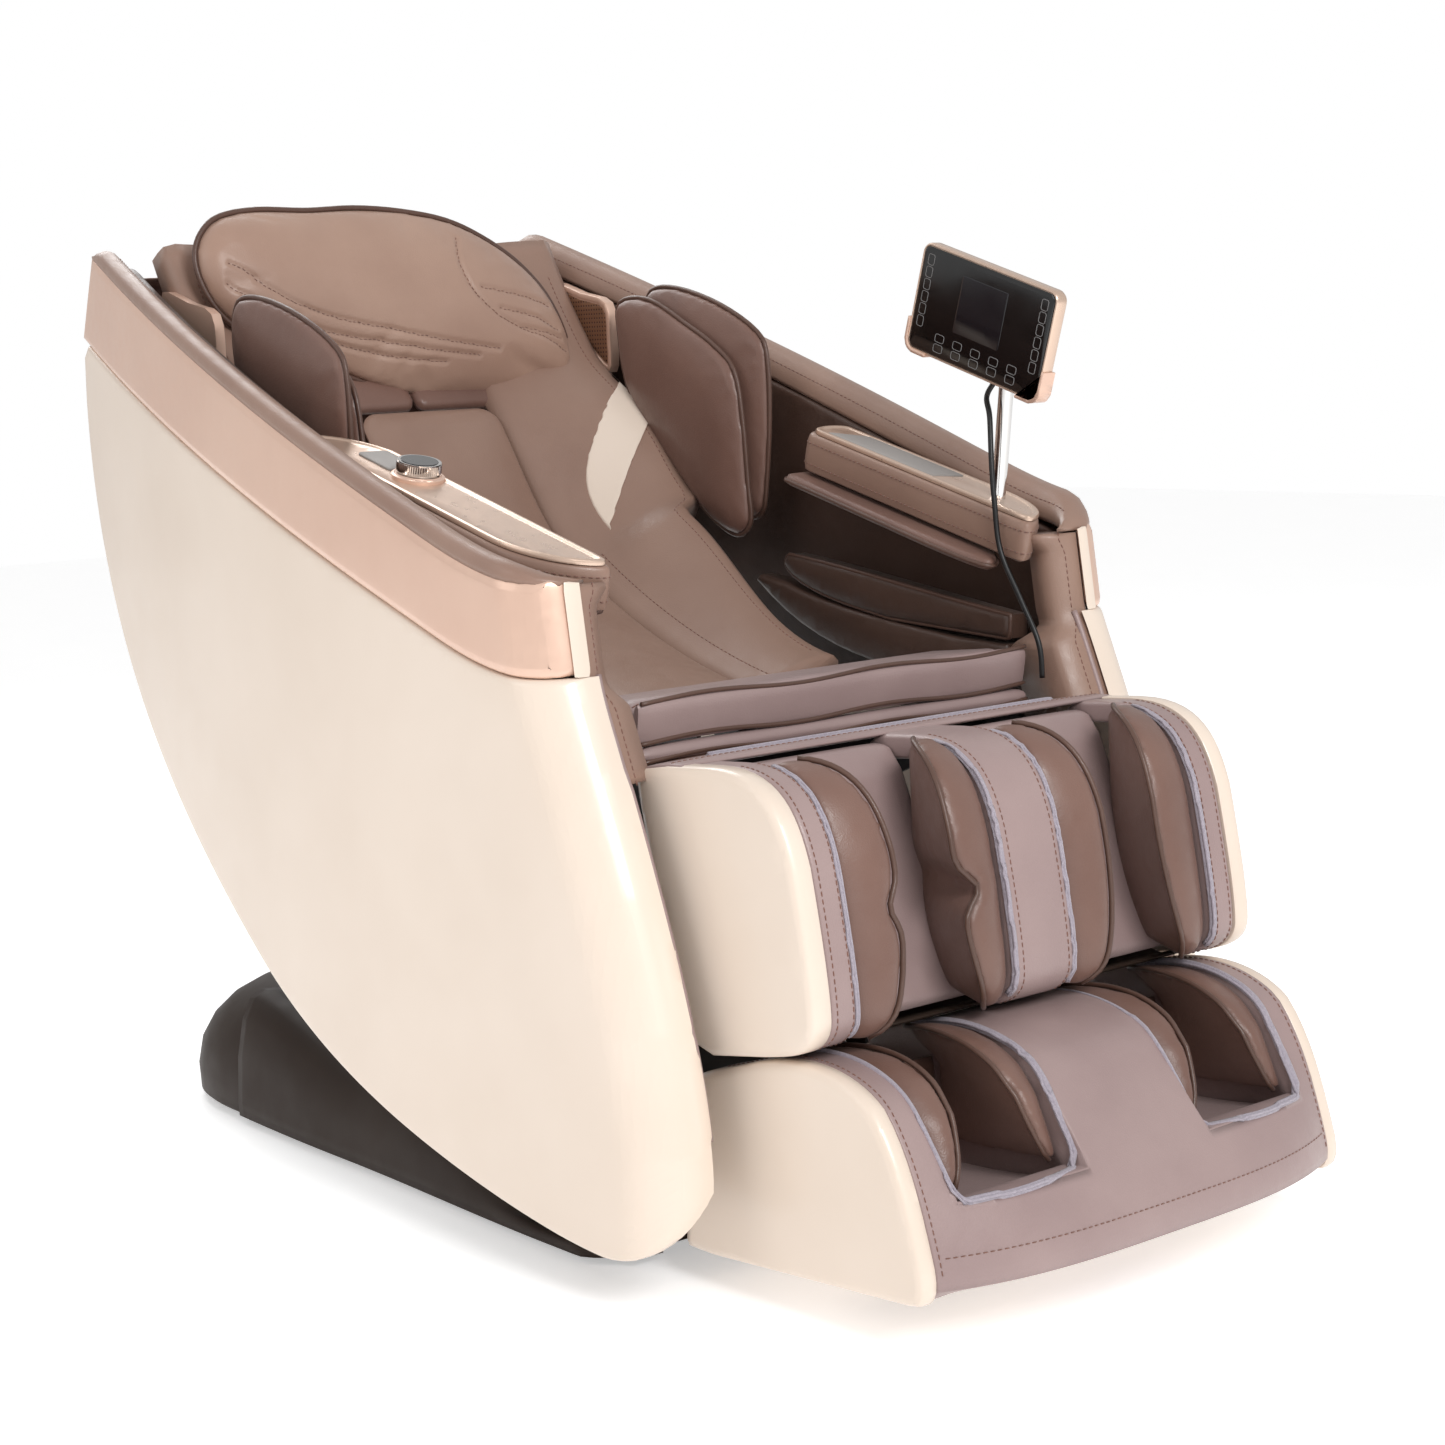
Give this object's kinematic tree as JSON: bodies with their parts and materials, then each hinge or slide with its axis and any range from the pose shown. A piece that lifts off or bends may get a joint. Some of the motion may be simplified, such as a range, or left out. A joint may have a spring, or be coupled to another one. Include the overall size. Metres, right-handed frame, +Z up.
{
  "type": "massage chair",
  "caption": "Reclining full-body massage chair with one-piece side shells, padded arms, calf and foot wells, and a tablet on a post.",
  "frame": {"origin": "on the floor, at the middle of the chair's footprint", "axes": "+Z up, the sitter faces -Y, +X is the sitter's left"},
  "size_m": [0.782, 1.429, 1.046],
  "materials": {
    "shell_cream": "satin",
    "rose_gold": "satin metallic",
    "leather_taupe": "soft grained",
    "leather_brown": "soft grained",
    "base_dark": "satin",
    "drive_black": "textured",
    "frame_steel": "powder coated",
    "shaft_steel": "ground",
    "chrome": "polished",
    "dark_glass": "gloss",
    "grey_pad": "matt",
    "roller_rubber": "matt",
    "foot_rubber": "matt",
    "cable_black": "satin",
    "switch_red": "gloss",
    "zip_fabric": "woven"
  },
  "bodies": {
    "base": {"base_cover": "base_dark", "base_skirt": "base_dark", "base_frame": "frame_steel", "base_feet": "foot_rubber", "power_inlet": "drive_black"},
    "switch": {"power_switch": "switch_red"},
    "transport_wheels": {"transport_wheels": "roller_rubber"},
    "carriage": {"slide_carriage": "frame_steel"},
    "tilt_drive": {"tilt_actuator": "drive_black"},
    "tilt_rod": {"tilt_rod": "shaft_steel"},
    "seat": {"main_frame": "frame_steel", "side_shell_left": "shell_cream", "side_shell_right": "shell_cream", "gold_band_left": "rose_gold", "gold_band_right": "rose_gold", "rim_pad_left": "leather_taupe", "rim_pad_right": "leather_taupe", "side_lining_left": "leather_brown", "side_lining_right": "leather_brown", "armrest_left": "leather_taupe", "armrest_right": "leather_taupe", "arm_plate_left": "rose_gold", "arm_plate_right": "rose_gold", "charging_pad": "grey_pad", "touch_keypad": "grey_pad", "arm_air_cells": "leather_taupe", "back_pad": "leather_taupe", "back_wings": "leather_taupe", "seat_cushion": "leather_taupe", "seat_flaps": "leather_taupe", "back_cover": "leather_taupe", "track_rails": "frame_steel", "shoulder_air_cells": "leather_taupe", "speakers": "rose_gold", "air_pump": "drive_black", "control_box": "drive_black", "leg_actuator": "drive_black", "tablet_cable": "cable_black"},
    "leg_rod": {"leg_rod": "shaft_steel"},
    "calf": {"calf_frame": "frame_steel", "calf_shell": "shell_cream", "calf_pads": "leather_taupe", "calf_air_cells": "leather_taupe"},
    "foot": {"foot_shell": "shell_cream", "foot_cover": "leather_taupe", "foot_air_cells": "leather_taupe"},
    "foot_rollers": {"foot_rollers": "roller_rubber"},
    "massage_carriage": {"massage_carriage": "frame_steel"},
    "kneader_left": {"kneading_arm_left": "drive_black"},
    "kneader_right": {"kneading_arm_right": "drive_black"},
    "roller_upper_left": {"roller_upper_left": "roller_rubber"},
    "roller_upper_right": {"roller_upper_right": "roller_rubber"},
    "roller_lower_left": {"roller_lower_left": "roller_rubber"},
    "roller_lower_right": {"roller_lower_right": "roller_rubber"},
    "knob_ring": {"knob_ring": "chrome"},
    "knob_button": {"knob_button": "dark_glass"},
    "tablet_post": {"tablet_post": "chrome"},
    "tablet_cradle": {"tablet_cradle": "rose_gold", "tablet": "dark_glass"},
    "pillow": {"head_pillow": "leather_taupe"}
  },
  "joints": [
    {"name": "switch_rock", "type": "hinge", "parent": "base", "child": "switch", "pos_m": [0.189, 0.6235, 0.073], "axis": [1, 0, 0], "range_deg": [-8, 8]},
    {"name": "wheels_roll", "type": "hinge", "parent": "base", "child": "transport_wheels", "pos_m": [0, 0.5715, 0.043], "axis": [1, 0, 0], "continuous": true},
    {"name": "carriage_slide", "type": "slide", "parent": "base", "child": "carriage", "axis": [0, -1, 0], "range_m": [0, 0.0902]},
    {"name": "recline", "type": "hinge", "parent": "carriage", "child": "seat", "pos_m": [0, 0.2235, 0.23], "axis": [-1, 0, 0], "range_deg": [0, 18]},
    {"name": "tilt_drive_swing", "type": "hinge", "parent": "carriage", "child": "tilt_drive", "pos_m": [0, 0.0935, 0.15], "axis": [-1, 0, 0], "range_deg": [0, 16.5]},
    {"name": "tilt_rod_slide", "type": "slide", "parent": "tilt_drive", "child": "tilt_rod", "axis": [0, -0.4886, 0.8725], "range_m": [0, 0.048]},
    {"name": "leg_rod_slide", "type": "slide", "parent": "seat", "child": "leg_rod", "axis": [0, -1, 0], "range_m": [0, 0.057]},
    {"name": "calf_lift", "type": "hinge", "parent": "seat", "child": "calf", "pos_m": [0, -0.3215, 0.462], "axis": [-1, 0, 0], "range_deg": [0, 55]},
    {"name": "foot_extend", "type": "slide", "parent": "calf", "child": "foot", "axis": [0, -0.2317, -0.9728], "range_m": [0, 0.15]},
    {"name": "sole_rollers_spin", "type": "hinge", "parent": "foot", "child": "foot_rollers", "pos_m": [0, -0.5465, 0.084], "axis": [1, 0, 0], "continuous": true},
    {"name": "massage_travel", "type": "hinge", "parent": "seat", "child": "massage_carriage", "pos_m": [0, -0.2045, 1.392], "axis": [1, 0, 0], "range_deg": [-18, 15]},
    {"name": "knead_left", "type": "hinge", "parent": "massage_carriage", "child": "kneader_left", "pos_m": [0, 0.42222, 0.64511], "axis": [1, 0, 0], "range_deg": [-8, 8]},
    {"name": "knead_right", "type": "hinge", "parent": "massage_carriage", "child": "kneader_right", "pos_m": [0, 0.42222, 0.64511], "axis": [1, 0, 0], "range_deg": [-8, 8]},
    {"name": "roll_upper_left", "type": "hinge", "parent": "kneader_left", "child": "roller_upper_left", "pos_m": [0, 0.44346, 0.68513], "axis": [1, 0, 0], "continuous": true},
    {"name": "roll_lower_left", "type": "hinge", "parent": "kneader_left", "child": "roller_lower_left", "pos_m": [0, 0.37912, 0.63113], "axis": [1, 0, 0], "continuous": true},
    {"name": "roll_upper_right", "type": "hinge", "parent": "kneader_right", "child": "roller_upper_right", "pos_m": [0, 0.44346, 0.68513], "axis": [1, 0, 0], "continuous": true},
    {"name": "roll_lower_right", "type": "hinge", "parent": "kneader_right", "child": "roller_lower_right", "pos_m": [0, 0.37912, 0.63113], "axis": [1, 0, 0], "continuous": true},
    {"name": "knob_turn", "type": "hinge", "parent": "seat", "child": "knob_ring", "pos_m": [-0.304, -0.0034, 0.74629], "axis": [0, -0.2656, 0.9641], "continuous": true},
    {"name": "knob_press", "type": "slide", "parent": "seat", "child": "knob_button", "axis": [0, 0.2656, -0.9641], "range_m": [0, 0.001]},
    {"name": "tablet_swivel", "type": "hinge", "parent": "seat", "child": "tablet_post", "pos_m": [0.303, -0.2085, 0.6898], "axis": [0, -0.1392, 0.9903], "range_deg": [-50, 40]},
    {"name": "tablet_tilt", "type": "hinge", "parent": "tablet_post", "child": "tablet_cradle", "pos_m": [0.303, -0.23077, 0.84824], "axis": [0, 0.9511, 0.309], "range_deg": [-10, 20]},
    {"name": "pillow_flip", "type": "hinge", "parent": "seat", "child": "pillow", "pos_m": [0, 0.5255, 1.034], "axis": [-1, 0, 0], "range_deg": [0, 110]}
  ],
  "couplings": [
    {"joint": "carriage_slide", "follows": "recline", "m_per_rad": 0.28648},
    {"joint": "tilt_drive_swing", "follows": "recline", "ratio": 0.9106},
    {"joint": "tilt_rod_slide", "follows": "recline", "m_per_rad": 0.1495},
    {"joint": "leg_rod_slide", "follows": "calf_lift", "m_per_rad": 0.0585},
    {"joint": "knead_right", "follows": "knead_left", "ratio": -1}
  ]
}
